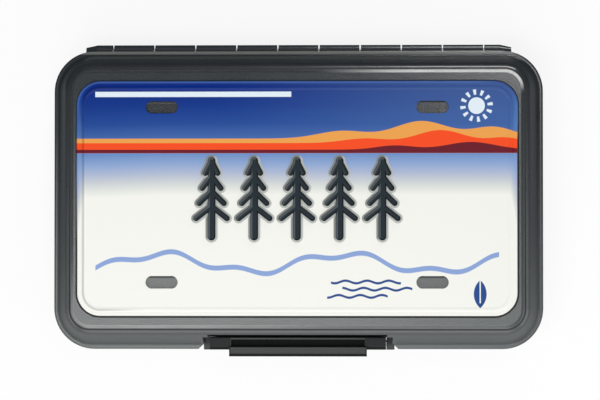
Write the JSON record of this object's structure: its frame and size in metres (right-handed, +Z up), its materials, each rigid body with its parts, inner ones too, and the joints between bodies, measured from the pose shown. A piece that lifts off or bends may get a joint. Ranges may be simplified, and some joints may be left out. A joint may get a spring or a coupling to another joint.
{
  "type": "fly box",
  "caption": "Pocket fly box with a long pin hinge, rim seal, front lever latch, slit foam liners and a decorated plate on the lid.",
  "frame": {"origin": "centre of the flat face that the base lies on", "axes": "+X along the hinge to the right, +Y towards the hinge, +Z up through the lid; the latch is at -Y"},
  "size_m": [0.132, 0.0841, 0.034],
  "materials": {
    "shell": "satin grey moulded plastic",
    "latch": "black moulded plastic",
    "pin": "drawn steel wire",
    "seal": "soft rubber cord",
    "foam": "closed-cell foam",
    "film": "double-sided adhesive film",
    "plate": "printed and embossed, semi-gloss"
  },
  "bodies": {
    "base": {"base_shell": "shell", "hinge_pin": "pin", "latch_pin": "pin", "rim_seal": "seal", "base_foam": "foam", "base_foam_film": "film"},
    "lid": {"lid_shell": "shell", "lid_foam": "foam", "lid_foam_film": "film", "art_plate": "plate", "plate_film": "film"},
    "latch": {"latch_lever": "latch"}
  },
  "joints": [
    {"name": "lid_hinge", "type": "hinge", "parent": "base", "child": "lid", "pos_m": [0, 0.04025, 0.017], "axis": [-1, 0, 0], "range_deg": [0, 180]},
    {"name": "latch_pivot", "type": "hinge", "parent": "base", "child": "latch", "pos_m": [0, -0.03895, 0.008], "axis": [1, 0, 0], "range_deg": [0, 95]}
  ]
}
